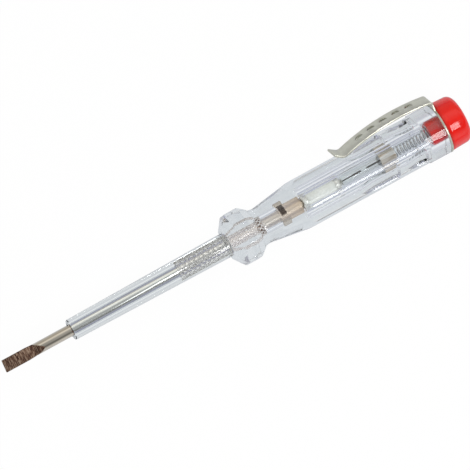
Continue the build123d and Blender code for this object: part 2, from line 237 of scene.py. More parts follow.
def ramp(tree, factor, stops):
    """Colours spread over a factor, as (position, sRGB hex colour) stops."""
    made = add_node(tree, "ShaderNodeValToRGB", {"Fac": factor})
    elements = made.color_ramp.elements
    for end in (0, -1):
        elements[end].position = stops[end][0]
        elements[end].color = linear(stops[end][1])
    for position, colour in stops[1:-1]:
        elements.new(position).color = linear(colour)
    return made.outputs["Color"]


def tones_along(tree, value, tones, unit=1):
    """Colours set out along a value, as (value, sRGB hex colour) stops in the given unit."""
    lowest, highest = tones[0][0], tones[-1][0]
    place = add_node(
        tree, "ShaderNodeMapRange", {"Value": value, "From Min": lowest * unit, "From Max": highest * unit}
    )
    stops = [((stop - lowest) / (highest - lowest), colour) for stop, colour in tones]
    return ramp(tree, place.outputs["Result"], stops)


def ground_area(tree, x, radius, in_blade):
    """1 where the wheel has cut the plating away, on the tip and its run-out, and 0 elsewhere."""
    cut_into_round = add_node(
        tree, "ShaderNodeMath", {0: radius, 1: rod_radius - ground_below_skin}, operation="LESS_THAN"
    ).outputs[0]
    in_tip = add_node(tree, "ShaderNodeMath", {0: x, 1: tip_length}, operation="LESS_THAN").outputs[0]
    ground = add_node(tree, "ShaderNodeMath", {0: cut_into_round, 1: in_tip}, operation="MAXIMUM").outputs[0]
    return add_node(tree, "ShaderNodeMath", {0: ground, 1: in_blade}, operation="MULTIPLY").outputs[0]


def bright_plating(tree, streaks, in_blade):
    """The plating outside the handle: warm where it is bare, and painted whiter under the sleeve, as painted
    light.
    """
    bare = ramp(tree, streaks, [(noise_low, "#c6bfb2"), (noise_high, "#dfd8ca")])
    # Painted light: the plating under the sleeve is painted whiter
    painted_lighter_under_sleeve = ramp(tree, streaks, [(noise_low, "#e9e7e4"), (noise_high, "#ffffff")])
    return add_node(tree, "ShaderNodeMix", {0: in_blade, 6: painted_lighter_under_sleeve, 7: bare}, data_type="RGBA").outputs[2]


def plating_painted_in_handle(tree, x, y, radius, patches):
    """The plating inside the handle: painted pale as painted light, with a band of painted shade before the
    relief, pale ears and a patch of painted shade beside them.
    """
    wander = add_node(
        tree,
        "ShaderNodeMapRange",
        {"Value": patches, "To Min": -painted_tone_unevenness / 2, "To Max": painted_tone_unevenness / 2},
    ).outputs["Result"]
    # Painted light and painted shade along the rod inside the handle
    uneven_x = add_node(tree, "ShaderNodeMath", {0: x, 1: wander}).outputs[0]
    tone = tones_along(tree, uneven_x, painted_tones_in_handle)
    on_ears = add_node(
        tree, "ShaderNodeMath", {0: radius, 1: rod_radius + ears_above_skin}, operation="GREATER_THAN"
    ).outputs[0]
    # Painted shade: a dark patch on one side of the rod beside the ears
    beside_ears = add_node(
        tree, "ShaderNodeMath", {0: x, 1: ear_middle, 2: ear_shade_reach}, operation="COMPARE"
    ).outputs[0]
    on_upper_side = add_node(
        tree, "ShaderNodeMapRange", {"Value": y, "From Min": ear_shade_edge[0], "From Max": ear_shade_edge[1]}
    ).outputs["Result"]
    in_painted_shade = add_node(
        tree, "ShaderNodeMath", {0: beside_ears, 1: on_upper_side}, operation="MULTIPLY"
    ).outputs[0]
    for area, colour in ((in_painted_shade, "#4a3e36"), (on_ears, "#cdc5bb")):
        tone = add_node(
            tree, "ShaderNodeMix", {0: area, 6: tone, 7: linear(colour)}, data_type="RGBA"
        ).outputs[2]
    return tone


# Nickel-plated drawn steel: a warm bright metal with hair-fine streaks along the rod. The tip is
# ground across after plating, which leaves it dull brown with a line for each pass of the wheel.
# Under the sleeve the plating is painted whiter, as painted light. Inside the handle the hot plastic
# has dulled it, and it is painted pale there, as painted light, and browner towards the rod's end. A band
# of painted shade darkens it where the relief round the rod begins, and a patch of painted shade lies
# on one side beside the ears that were pressed in it.
def nickel_plated_steel():
    """The metal of the blade, whose finish changes along the rod."""
    material, tree = new_material("nickel_plated_steel")
    coordinates = add_node(tree, "ShaderNodeTexCoord").outputs["Object"]
    place = add_node(tree, "ShaderNodeSeparateXYZ", {"Vector": coordinates})
    x = place.outputs["X"]
    off_axis = add_node(
        tree, "ShaderNodeVectorMath", {0: coordinates, 1: (0, 1, 1)}, operation="MULTIPLY"
    ).outputs[0]
    radius = add_node(tree, "ShaderNodeVectorMath", {0: off_axis}, operation="LENGTH").outputs["Value"]
    streaks = add_node(
        tree,
        "ShaderNodeTexNoise",
        {"Vector": pattern_place(tree, draw_line_cell), "Scale": 1, "Detail": 3},
    ).outputs["Fac"]
    passes = add_node(
        tree,
        "ShaderNodeTexNoise",
        {"Vector": pattern_place(tree, wheel_line_cell), "Scale": 1, "Detail": 2},
    ).outputs["Fac"]
    in_blade = add_node(tree, "ShaderNodeMath", {0: x, 1: sleeve_front}, operation="LESS_THAN").outputs[0]
    in_handle = add_node(tree, "ShaderNodeMath", {0: x, 1: handle_front}, operation="GREATER_THAN").outputs[0]
    ground = ground_area(tree, x, radius, in_blade)
    plating = add_node(
        tree,
        "ShaderNodeMix",
        {
            0: in_handle,
            6: bright_plating(tree, streaks, in_blade),
            7: plating_painted_in_handle(tree, x, place.outputs["Y"], radius, passes),
        },
        data_type="RGBA",
    ).outputs[2]
    grinding = ramp(tree, passes, wheel_line_tones)
    colour = add_node(
        tree, "ShaderNodeMix", {0: ground, 6: plating, 7: grinding}, data_type="RGBA"
    ).outputs[2]
    metallic = add_node(
        tree, "ShaderNodeMapRange", {"Value": in_handle, "To Min": 1, "To Max": dull_metallic}
    )
    plated_roughness = add_node(
        tree, "ShaderNodeMapRange", {"Value": in_handle, "To Min": bright_roughness, "To Max": dull_roughness}
    ).outputs["Result"]
    roughness = add_node(
        tree, "ShaderNodeMapRange", {"Value": ground, "To Min": plated_roughness, "To Max": ground_roughness}
    )
    height = add_node(tree, "ShaderNodeMix", {0: ground, 2: streaks, 3: passes}).outputs[0]
    bump = add_node(
        tree, "ShaderNodeBump", {"Height": height, "Strength": blade_bump, "Distance": line_relief}
    )
    metal = add_node(
        tree,
        "ShaderNodeBsdfPrincipled",
        {
            "Base Color": colour,
            "Metallic": metallic.outputs["Result"],
            "Roughness": roughness.outputs["Result"],
            "Normal": bump.outputs["Normal"],
        },
    )
    add_node(tree, "ShaderNodeOutputMaterial", {"Surface": metal.outputs["BSDF"]})
    return material


def plated_metal(name, dark, light, roughness, cell, relief, metallic=1):
    """A plated or drawn metal: its tone varies along the grain of the sheet or wire."""
    material, tree = new_material(name)
    grain = add_node(
        tree, "ShaderNodeTexNoise", {"Vector": pattern_place(tree, cell), "Scale": 1, "Detail": 4}
    ).outputs["Fac"]
    colour = ramp(tree, grain, [(noise_low, dark), (noise_high, light)])
    gloss = add_node(
        tree,
        "ShaderNodeMapRange",
        {
            "Value": grain,
            "To Min": roughness * (1 - gloss_variation),
            "To Max": roughness * (1 + gloss_variation),
        },
    )
    bump = add_node(tree, "ShaderNodeBump", {"Height": grain, "Strength": metal_bump, "Distance": relief})
    metal = add_node(
        tree,
        "ShaderNodeBsdfPrincipled",
        {
            "Base Color": colour,
            "Metallic": metallic,
            "Roughness": gloss.outputs["Result"],
            "Normal": bump.outputs["Normal"],
        },
    )
    add_node(tree, "ShaderNodeOutputMaterial", {"Surface": metal.outputs["BSDF"]})
    return material


def moulded_plastic(name, dark, light, roughness, cell, relief):
    """An opaque moulded or lacquered surface, with the faint waviness of the mould or glaze."""
    material, tree = new_material(name)
    waves = add_node(
        tree, "ShaderNodeTexNoise", {"Vector": pattern_place(tree, cell), "Scale": 1, "Detail": 3}
    ).outputs["Fac"]
    colour = ramp(tree, waves, [(noise_low, dark), (noise_high, light)])
    bump = add_node(tree, "ShaderNodeBump", {"Height": waves, "Strength": plastic_bump, "Distance": relief})
    plastic = add_node(
        tree,
        "ShaderNodeBsdfPrincipled",
        {"Base Color": colour, "Roughness": roughness, "IOR": moulded_ior, "Normal": bump.outputs["Normal"]},
    )
    add_node(tree, "ShaderNodeOutputMaterial", {"Surface": plastic.outputs["BSDF"]})
    return material


def clear_moulding(name, tint, shadow_tint, ior, roughness, cell, relief):
    """A clear plastic or glass: it bends light, is faintly tinted and lets the lamps shine through."""
    material, tree = new_material(name)
    waves = add_node(
        tree, "ShaderNodeTexNoise", {"Vector": pattern_place(tree, cell), "Scale": 1, "Detail": 2}
    ).outputs["Fac"]
    bump = add_node(tree, "ShaderNodeBump", {"Height": waves, "Strength": clear_bump, "Distance": relief})
    body = add_node(
        tree,
        "ShaderNodeBsdfPrincipled",
        {
            "Base Color": linear(tint),
            "Roughness": roughness,
            "IOR": ior,
            "Transmission Weight": 1,
            "Normal": bump.outputs["Normal"],
        },
    )
    see_through = add_node(tree, "ShaderNodeBsdfTransparent", {"Color": linear(shadow_tint)})
    path = add_node(tree, "ShaderNodeLightPath")
    lets_light_in = add_node(
        tree,
        "ShaderNodeMath",
        {0: path.outputs["Is Shadow Ray"], 1: path.outputs["Is Diffuse Ray"]},
        operation="MAXIMUM",
    )
    mixed = add_node(
        tree,
        "ShaderNodeMixShader",
        {0: lets_light_in.outputs[0], 1: body.outputs["BSDF"], 2: see_through.outputs["BSDF"]},
    )
    add_node(tree, "ShaderNodeOutputMaterial", {"Surface": mixed.outputs["Shader"]})
    return material


blade_steel = nickel_plated_steel()

# A cell is the size of a surface's grain or waves along X, Y and Z. The grain of plating, solder and
# wire is finer on the real ones, and is drawn as coarse as it needs to show.

# Crests of the knurl: the same plating, painted brighter, as painted light for their glints
knurl_steel = plated_metal(
    "knurled_nickel",
    dark="#a5a29d",
    light="#ffffff",
    roughness=0.3,
    cell=(0.5 * mm, 0.3 * mm, 0.3 * mm),
    relief=0.02 * mm,
    metallic=0.4,
)
# The same crests where the handle is moulded on to them: painted paler still, as painted light
pale_painted_knurl_steel = plated_metal(
    "pale_painted_knurled_nickel",
    dark="#ded5d2",
    light="#ffffff",
    roughness=0.3,
    cell=(0.9 * mm, 0.6 * mm, 0.6 * mm),
    relief=0.02 * mm,
    metallic=0.3,
)
# Plasticised PVC tube: greenish grey, soft, with faint lengthwise lines from the extruder
sleeve_pvc = clear_moulding(
    "extruded_clear_pvc",
    tint="#f8fbfa",
    shadow_tint="#f8faf9",
    ior=1.52,
    roughness=0.01,
    cell=(9 * mm, 0.8 * mm, 0.8 * mm),
    relief=0.01 * mm,
)
# Moulded cellulose acetate: water clear with a cool tint, slightly wavy from the mould
handle_acetate = clear_moulding(
    "moulded_clear_acetate",
    tint="#f6f9fb",
    shadow_tint="#f6f9fa",
    ior=1.49,
    roughness=0.0,
    cell=(3 * mm, 2.2 * mm, 2.2 * mm),
    relief=0.02 * mm,
)
# Soda glass of the lamp
lamp_soda_glass = clear_moulding(
    "lamp_soda_glass",
    tint="#fafbfa",
    shadow_tint="#fafbfa",
    ior=1.5,
    roughness=0.0,
    cell=(4 * mm, 1 * mm, 1 * mm),
    relief=0.005 * mm,
)
# Lacquered ceramic: matt cream
resistor_ceramic = moulded_plastic(
    "lacquered_ceramic",
    dark="#f1eee6",
    light="#fdfbf5",
    roughness=0.4,
    cell=(0.8 * mm, 0.8 * mm, 0.8 * mm),
    relief=0.02 * mm,
)
# Tinned caps and solder: soft grey, uneven
tinned_metal = plated_metal(
    "tinned_metal",
    dark="#d6d3cb",
    light="#f6f3ec",
    roughness=0.35,
    cell=(0.7 * mm, 0.5 * mm, 0.5 * mm),
    relief=0.02 * mm,
    metallic=0.6,
)
# Electrode wire: iron darkened by the glass seal
electrode_iron = plated_metal(
    "sealed_iron_wire",
    dark="#2b2927",
    light="#4d4944",
    roughness=0.45,
    cell=(0.5 * mm, 0.3 * mm, 0.3 * mm),
    relief=0.01 * mm,
)
# Drawn ferrule: pale nickel over brass, with draw lines along it
ferrule_nickel = plated_metal(
    "drawn_ferrule",
    dark="#b79c78",
    light="#ffffff",
    roughness=0.28,
    cell=(9 * mm, 0.7 * mm, 0.7 * mm),
    relief=0.02 * mm,
    metallic=0.4,
)
# Spring wire: zinc-plated, small bright glints
spring_wire = plated_metal(
    "zinc_plated_wire",
    dark="#b4b4b6",
    light="#e6e6e6",
    roughness=0.25,
    cell=(0.6 * mm, 0.4 * mm, 0.4 * mm),
    relief=0.01 * mm,
)
# Clip: barrel-finished nickel on spring steel, satin and slightly warm
clip_nickel = plated_metal(
    "satin_nickel_clip",
    dark="#bfbfb2",
    light="#d3d3c6",
    roughness=0.38,
    cell=(2.5 * mm, 0.3 * mm, 0.3 * mm),
    relief=0.01 * mm,
)
# Cap: glossy red moulded polystyrene
cap_red = moulded_plastic(
    "glossy_red_polystyrene",
    dark="#d81007",
    light="#e41a0c",
    roughness=0.1,
    cell=(4 * mm, 4 * mm, 4 * mm),
    relief=0.01 * mm,
)
# Touch rivet: polished nickel, worn by fingers
rivet_nickel = plated_metal(
    "polished_rivet",
    dark="#b8b2a6",
    light="#dcd7cd",
    roughness=0.2,
    cell=(0.9 * mm, 0.9 * mm, 0.9 * mm),
    relief=0.01 * mm,
)


def select_only(piece):
    """Makes one object the selected and active one."""
    bpy.ops.object.select_all(action="DESELECT")
    piece.select_set(True)
    bpy.context.view_layer.objects.active = piece


def turned(outline, segments=round_segments, roll=0):
    """A piece turned about the X axis from a ring that is extruded along (station, radius) points.

    An outline that ends where it began makes a tube, and any other gets a flat end at each side.
    """
    is_tube = outline[0] == outline[-1]
    station, radius = outline[0]
    bpy.ops.mesh.primitive_circle_add(
        vertices=segments,
        radius=radius,
        fill_type="NOTHING" if is_tube else "NGON",
        location=(station, 0, 0),
        rotation=(0, half_turn / 2, 0),
    )
    bpy.ops.object.transform_apply(location=True, rotation=True, scale=True)
    bpy.ops.object.mode_set(mode="EDIT")
    for next_station, next_radius in outline[1:]:
        bpy.ops.mesh.extrude_region_move(
            TRANSFORM_OT_translate={"value": (next_station - station, 0, 0)}
        )
        growth = next_radius / radius
        bpy.ops.transform.resize(value=(1, growth, growth), center_override=(next_station, 0, 0))
        station, radius = next_station, next_radius
    bpy.ops.mesh.select_all(action="SELECT")
    bpy.ops.mesh.remove_doubles(threshold=merge_distance)
    if roll:
        bpy.ops.transform.rotate(value=roll, orient_axis="X", center_override=(0, 0, 0))
    bpy.ops.mesh.normals_make_consistent(inside=False)
    bpy.ops.object.mode_set(mode="OBJECT")
    return bpy.context.object


def rounded(before, corner, after, radius):
    """Points of the arc that rounds the corner of an outline."""
    before, corner, after = Vector(before), Vector(corner), Vector(after)
    way_in = (corner - before).normalized()
    way_out = (after - corner).normalized()
    turn = way_in.angle_signed(way_out)
    reach = radius * math.tan(abs(turn) / 2)
    start = corner - way_in * reach
    side = Vector((-way_in.y, way_in.x))
    if (after - corner).dot(side) < 0:
        side = -side
    centre = start + side * radius
    points = []
    for step in range(arc_steps + 1):
        angle = abs(turn) * step / arc_steps
        points.append(tuple(centre - side * radius * math.cos(angle) + way_in * radius * math.sin(angle)))
    return points


def swept(ring, turn, length, steps):
    """Sweeps a ring along a helix about the X axis, by the screw modifier, and closes its ends."""
    modifier = ring.modifiers.new("sweep", "SCREW")
    modifier.axis = "X"
    modifier.angle = turn
    modifier.screw_offset = length
    modifier.steps = steps
    modifier.render_steps = steps
    bpy.ops.object.modifier_apply(modifier=modifier.name)
    bpy.ops.object.mode_set(mode="EDIT")
    bpy.ops.mesh.select_all(action="SELECT")
    bpy.ops.mesh.fill_holes(sides=0)
    bpy.ops.mesh.normals_make_consistent(inside=False)
    bpy.ops.object.mode_set(mode="OBJECT")
    return ring


def combine(piece, tool, operation):
    """Joins a second solid to a piece or cuts it away, and deletes the second."""
    select_only(piece)
    modifier = piece.modifiers.new("combine", "BOOLEAN")
    modifier.operation = operation
    modifier.solver = "EXACT"
    modifier.object = tool
    bpy.ops.object.modifier_apply(modifier=modifier.name)
    bpy.data.objects.remove(tool)


def edges_rounded(piece, radius, sharp_angle=soft_crease_angle):
    """Rounds the edges of a piece that are sharper than an angle."""
    select_only(piece)
    modifier = piece.modifiers.new("edge_round", "BEVEL")
    modifier.width = radius
    modifier.segments = bevel_segments
    modifier.limit_method = "ANGLE"
    modifier.angle_limit = sharp_angle
    bpy.ops.object.modifier_apply(modifier=modifier.name)
    return piece


def joined(parts):
    """Joins objects into the first of them, with their turns applied."""
    bpy.ops.object.select_all(action="DESELECT")
    for part in parts:
        part.select_set(True)
    bpy.context.view_layer.objects.active = parts[0]
    bpy.ops.object.join()
    bpy.ops.object.transform_apply(location=True, rotation=True, scale=True)
    bpy.ops.object.mode_set(mode="EDIT")
    bpy.ops.mesh.select_all(action="SELECT")
    bpy.ops.mesh.normals_make_consistent(inside=False)
    bpy.ops.object.mode_set(mode="OBJECT")
    return bpy.context.object


def turned_copy(piece, roll, mirrored=False):
    """A copy with its own mesh, turned about the X axis."""
    copy = piece.copy()
    copy.data = piece.data.copy()
    bpy.context.scene.collection.objects.link(copy)
    copy.rotation_euler.x = roll
    if mirrored:
        copy.scale.y = -1
    return copy


def finish_piece(piece, name, body, slot, material, *nodes, crease=soft_crease_angle):
    """Names a piece, shades it, gives it its material and seats it in the frame."""
    piece.name = name
    select_only(piece)
    if crease:
        bpy.ops.object.shade_smooth_by_angle(angle=crease)
    piece.data.materials.clear()
    piece.data.materials.append(material)
    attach(piece, body)
    if nodes:
        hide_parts(*nodes)
    return piece


def node_copy(node, edge_round=0):
    """A merged copy of a node's shape, with its sharp edges rounded where a size is given."""
    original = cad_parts[node]
    piece = original.copy()
    piece.data = original.data.copy()
    bpy.context.scene.collection.objects.link(piece)
    piece.parent = None
    piece.matrix_world = Matrix.Identity(4)
    select_only(piece)
    bpy.ops.object.mode_set(mode="EDIT")
    bpy.ops.mesh.select_all(action="SELECT")
    bpy.ops.mesh.remove_doubles(threshold=merge_distance)
    if edge_round:
        bpy.ops.mesh.dissolve_limited(angle_limit=flat_angle)
    bpy.ops.object.mode_set(mode="OBJECT")
    if edge_round:
        edges_rounded(piece, edge_round)
    return piece


# Blade
def grinding_cutter():
    """What the wheel takes off one side of the tip: a block whose end is hollowed to the run-out's arc."""
    run_out_rear = tip_length + grind_length
    height = rod_radius - tip_thickness / 2
    arc_radius = (grind_length ** 2 + height ** 2) / (2 * height)
    block_width = 4 * rod_radius
    wheel_width = 6 * rod_radius
    bpy.ops.mesh.primitive_cube_add(
        size=1,
        location=((run_out_rear - overrun) / 2, 0, rod_radius),
        scale=(run_out_rear + overrun, block_width, 2 * height),
    )
    bpy.ops.object.transform_apply(location=True, rotation=True, scale=True)
    cutter = bpy.context.object
    bpy.ops.mesh.primitive_cylinder_add(
        vertices=run_out_segments,
        radius=arc_radius,
        depth=wheel_width,
        location=(run_out_rear, 0, rod_radius - arc_radius),
        rotation=(half_turn / 2, 0, 0),
    )
    combine(cutter, bpy.context.object, "DIFFERENCE")
    return cutter


def tip_plate():
    """The flattened tip before grinding: a plate that narrows to the rod's width."""
    bar_sides = 4
    corner_radius = tip_width / math.sqrt(2)
    plate = turned([
        (0, corner_radius),
        (tip_parallel_length, corner_radius),
        (tip_length, corner_radius * 2 * rod_radius / tip_width),
    ], segments=bar_sides, roll=half_turn / bar_sides)
    plate.scale.z = 2 * tip_thickness / tip_width
    bpy.ops.object.transform_apply(location=True, rotation=True, scale=True)
    return plate


def pressed_ears():
    """The two ears that key the rod in the handle, as one bar across it."""
    bpy.ops.mesh.primitive_cube_add(
        size=1,
        location=(ear_middle, 0, 0),
        rotation=(ear_roll, 0, 0),
        scale=(ear_length, ear_span, ear_thickness),
    )
    bpy.ops.object.transform_apply(location=True, rotation=True, scale=True)
    return edges_rounded(bpy.context.object, ear_edge_round)


def blade():
    """A drawn rod with a flattened and ground tip, and two pressed ears near its rear end."""
    rod = turned([
        (tip_parallel_length, rod_radius),
        (rod_end - rod_end_chamfer, rod_radius),
        (rod_end, rod_radius - rod_end_chamfer),
    ])
    combine(rod, tip_plate(), "UNION")
    cutter = grinding_cutter()
    combine(rod, joined([turned_copy(cutter, half_turn), cutter]), "DIFFERENCE")
    edges_rounded(rod, tip_edge_round)
    rod.rotation_euler.x = tip_roll
    bpy.ops.object.transform_apply(location=True, rotation=True, scale=True)
    combine(rod, pressed_ears(), "UNION")
    return rod


finish_piece(blade(), "plated_rod", "handle", "blade_steel", blade_steel, "blade")


def knurl(front, length):
    """Crossed helical ridges that stand on the rod, each swept along a stretch of the knurled band."""
    bpy.ops.mesh.primitive_circle_add(vertices=3, fill_type="NOTHING")
    profile = bpy.context.object
    corners = (
        (front - knurl_ridge_width / 2, knurl_base_radius),
        (front + knurl_ridge_width / 2, knurl_base_radius),
        (front, knurl_crest_radius),
    )
    for vertex, (station, radius) in zip(profile.data.vertices, corners):
        vertex.co = (station, 0, radius)
    turn = length * math.tan(knurl_lead_angle) / rod_radius
    ridge = swept(profile, turn, length, round(length / knurl_step))
    ridges = [ridge]
    for start in range(knurl_starts):
        roll = full_turn * start / knurl_starts
        ridges.append(turned_copy(ridge, roll, mirrored=True))
        if start:
            ridges.append(turned_copy(ridge, roll))
    return joined(ridges)


for front, length, name, material in (
    (knurl_front, knurl_length, "shank_knurl", knurl_steel),
    (handle_front, knurl_in_handle, "moulded_in_knurl", pale_painted_knurl_steel),
):
    finish_piece(knurl(front, length), name, "handle", "blade_steel", material, crease=0)


# Insulating sleeve
def sleeve():
    """A tapered tube, loose on the plain rod and moulded on to the knurled band."""
    loose_radius = rod_radius + sleeve_play
    return turned([
        (sleeve_front, loose_radius),
        (sleeve_front, sleeve_mouth_radius - sleeve_mouth_chamfer),
        (sleeve_front + sleeve_mouth_chamfer, sleeve_mouth_radius),
        (handle_front, sleeve_rear_radius),
        (sleeve_rear, sleeve_rear_radius),
        (sleeve_rear, wet_bore_radius),
        (knurl_front, wet_bore_radius),
        (knurl_front, loose_radius),
        (sleeve_front, loose_radius),
    ])


finish_piece(
    sleeve(), "clear_tube", "handle", "clear_sleeve", sleeve_pvc, "insulating_sleeve", crease=crease_angle
)


# Handle
def octagon_radius(half_height):
    """Corner radius of an octagon with that height from its centre to a flat."""
    return half_height / math.cos(half_turn / flat_count)


def grip_body():
    """The turned part of the handle, from the collar to the rear."""
    collar_corner = (collar_flat_rear + collar_rear_bevel, collar_rear_half_height)
    waist_corner = (waist, waist_radius)
    grip_corner = (waist + waist_to_grip, grip_radius)
    return turned([
        (collar_flat_front, collar_rear_half_height),
        collar_corner,
        *rounded(collar_corner, waist_corner, grip_corner, waist_fillet),
        *rounded(waist_corner, grip_corner, (handle_rear, grip_radius), grip_fillet),
        (handle_rear - handle_rear_chamfer, grip_radius),
        (handle_rear, grip_radius - handle_rear_chamfer),
    ])


def flats_cutter():
    """An octagonal pipe that planes the eight flats of the grip."""
    inner = octagon_radius(flat_height)
    outer = 2 * grip_radius
    return turned([
        (waist, inner),
        (waist, outer),
        (flats_rear, outer),
        (flats_rear, inner),
        (waist, inner),
    ], segments=flat_count, roll=half_turn / flat_count)


def collar():
    """The octagonal collar with a bevel at each end."""
    piece = turned([
        (handle_front, octagon_radius(collar_face_half_height)),
        (collar_flat_front, octagon_radius(collar_half_height)),
        (collar_flat_rear, octagon_radius(collar_half_height)),
        (collar_flat_rear + collar_rear_bevel, octagon_radius(collar_rear_half_height)),
    ], segments=flat_count, roll=half_turn / flat_count)
    return edges_rounded(piece, collar_edge_round)


def scallop_cutters():
    """Blunt spindles, a long and a short one on every other flat."""
    short_front = flats_rear - scallop_land / 2 - scallop_short
    long_front = short_front - scallop_land - scallop_long
    rim_radius = scallop_radius - scallop_depth
    spindles = []
    for front, length in ((long_front, scallop_long), (short_front, scallop_short)):
        spindle = turned([
            (front, rim_radius),
            (front + scallop_front_ramp, scallop_radius),
            (front + length - scallop_rear_ramp, scallop_radius),
            (front + length, rim_radius),
        ])
        spindle.location.z = flat_height + rim_radius
        bpy.ops.object.transform_apply(location=True, rotation=False, scale=False)
        for row in range(scallop_rows):
            roll = half_turn / scallop_rows + full_turn * row / scallop_rows
            spindles.append(turned_copy(spindle, roll))
        bpy.data.objects.remove(spindle)
    return joined(spindles)


def bore_cutter():
    """Everything hollow inside: sleeve seat, rod hole with its relief, lamp chamber and cap socket."""
    seat_rear = handle_front + sleeve_seat_depth
    seat_radius = sleeve_rear_radius + seat_play
    socket_front = spigot_front - socket_relief
    return turned([
        (handle_front - overrun, seat_radius),
        (seat_rear, seat_radius),
        (seat_rear, wet_bore_radius),
        (relief_front, wet_bore_radius),
        (relief_front, relief_radius),
        (ear_front, relief_radius),
        (ear_front, wet_bore_radius),
        (rod_end, wet_bore_radius),
        (rod_end, chamber_radius),
        (socket_front, chamber_radius),
        (socket_front, socket_radius),
        (handle_rear + overrun, socket_radius),
    ])


def handle():
    """The moulded handle: a turned grip with flats, a collar, finger scallops and its hollows."""
    piece = grip_body()
    combine(piece, flats_cutter(), "DIFFERENCE")
    combine(piece, collar(), "UNION")
    edges_rounded(piece, grip_edge_round, sharp_angle=crease_angle)
    combine(piece, scallop_cutters(), "DIFFERENCE")
    combine(piece, bore_cutter(), "DIFFERENCE")
    return piece


def flats_kept_flat(piece):
    """Takes the shading from the large faces, so that the rounded edges don't bend the look of the flats."""
    select_only(piece)
    modifier = piece.modifiers.new("flat_faces", "WEIGHTED_NORMAL")
    modifier.keep_sharp = True
    bpy.ops.object.modifier_apply(modifier=modifier.name)


flats_kept_flat(finish_piece(
    handle(), "moulded_handle", "handle", "clear_handle", handle_acetate, "handle", crease=crease_angle
))

# Resistor
finish_piece(
    node_copy("resistor_rod"), "ceramic_rod", "handle", "resistor_ceramic", resistor_ceramic, "resistor_rod"
)
for end in ("front", "rear"):
    cap_node = f"resistor_ferrule_{end}"
    finish_piece(node_copy(cap_node), f"resistor_cap_{end}", "handle", "tinned_metal", tinned_metal, cap_node)


# Neon lamp
def lamp_tube():
    """The lamp's glass: a rounded front, a thin wall and a thick stem at the rear, pierced by the wires."""
    inner_radius = glass_radius - glass_wall
    wire_hole_radius = glass_wall
    outer_front = (glass_front, glass_radius)
    inner_front = (glass_front + glass_wall, inner_radius)
    return turned([
        (glass_front, wire_hole_radius),
        *rounded((glass_front, 0), outer_front, (glass_rear, glass_radius), glass_front_fillet),
        (glass_rear, glass_radius),
        (glass_rear, wire_hole_radius),
        (ferrule_front, wire_hole_radius),
        (ferrule_front, inner_radius),
        *reversed(rounded(
            (glass_front + glass_wall, 0),
            inner_front,
            (glass_rear, inner_radius),
            glass_front_fillet - glass_wall,
        )),
        (glass_front + glass_wall, wire_hole_radius),
        (glass_front, wire_hole_radius),
    ])


finish_piece(
    lamp_tube(), "lamp_tube", "handle", "lamp_glass", lamp_soda_glass, "lamp_glass", crease=crease_angle
)
for node, name, slot, material in (
    ("lamp_front_contact", "lamp_button", "tinned_metal", tinned_metal),
    ("lamp_electrode_front", "electrode_pin", "electrode_metal", electrode_iron),
    ("lamp_electrode_rear", "electrode_fork", "electrode_metal", electrode_iron),
    ("lamp_ferrule", "lamp_cap", "ferrule_metal", ferrule_nickel),
    ("lamp_solder_pip", "solder_dome", "tinned_metal", tinned_metal),
):
    finish_piece(node_copy(node), name, "handle", slot, material, node)


# Contact spring
def spring():
    """An open coil of round wire, swept from a ring."""
    low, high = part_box("contact_spring")
    front = low.x + wire_radius
    length = high.x - wire_radius - front
    bpy.ops.mesh.primitive_circle_add(
        vertices=wire_sides,
        radius=wire_radius,
        fill_type="NOTHING",
        location=(front, 0, spring_radius),
        rotation=(-half_turn / 2, 0, 0),
    )
    bpy.ops.object.transform_apply(location=True, rotation=True, scale=True)
    return swept(bpy.context.object, full_turn * spring_turns, length, spring_steps_per_turn * spring_turns)


finish_piece(spring(), "coil_spring", "handle", "spring_steel", spring_wire, "contact_spring")

# Pocket clip
for node, name in (("clip_ring", "clip_washer"), ("clip_arm", "clip_strip")):
    finish_piece(node_copy(node, clip_edge_round), name, node, "clip_steel", clip_nickel, node)

# End cap
finish_piece(node_copy("end_cap"), "red_cap", "end_cap", "red_plastic", cap_red, "end_cap")
finish_piece(
    node_copy("touch_contact"), "touch_rivet", "end_cap", "contact_metal", rivet_nickel, "touch_contact"
)

# Camera: where the ends of the tool's axis lie in the photograph, and from where it was taken
photo_size = 470
tip_pixel = (4.2, 366.6)
cap_pixel = (460.6, 116.6)
camera_distance = 4000 * mm
lean_to_tip = math.radians(12.0)
roll_of_table = math.radians(88.5)
sensor_width_mm = 36

to_camera = Vector((
    -math.sin(lean_to_tip),
    -math.cos(lean_to_tip) * math.cos(roll_of_table),
    math.cos(lean_to_tip) * math.sin(roll_of_table),
))
along = (Vector((1, 0, 0)) + math.sin(lean_to_tip) * to_camera).normalized()
across = to_camera.cross(along)
tip = Vector((0, 0, 0))
cap = Vector((cap_end, 0, 0))
middle = (tip + cap) / 2


def place_in_photo(pixel, point):
    """Where a pixel lies from the photograph's middle, times its point's distance from the camera."""
    distance = camera_distance - (point - middle).dot(to_camera)
    return Vector((pixel[0] - photo_size / 2, photo_size / 2 - pixel[1])) * distance


def add_camera():
    """The camera that sees both ends of the axis at their pixels."""
    tip_place = place_in_photo(tip_pixel, tip)
    span = place_in_photo(cap_pixel, cap) - tip_place
    focal_pixels = span.length / (cap - tip).dot(along)
    slope = math.atan2(span.y, span.x)
    right = math.cos(slope) * along - math.sin(slope) * across
    up = math.sin(slope) * along + math.cos(slope) * across
    shift_right = (tip - middle).dot(right) - tip_place.x / focal_pixels
    shift_up = (tip - middle).dot(up) - tip_place.y / focal_pixels
    data = bpy.data.cameras.new("photo_camera")
    data.sensor_width = sensor_width_mm
    data.lens = focal_pixels * sensor_width_mm / photo_size
    data.clip_start = camera_distance / 100
    camera = bpy.data.objects.new("photo_camera", data)
    bpy.context.scene.collection.objects.link(camera)
    camera.location = middle + to_camera * camera_distance + right * shift_right + up * shift_up
    camera.rotation_euler = Matrix((right, up, to_camera)).transposed().to_euler()
    bpy.context.scene.camera = camera


add_camera()


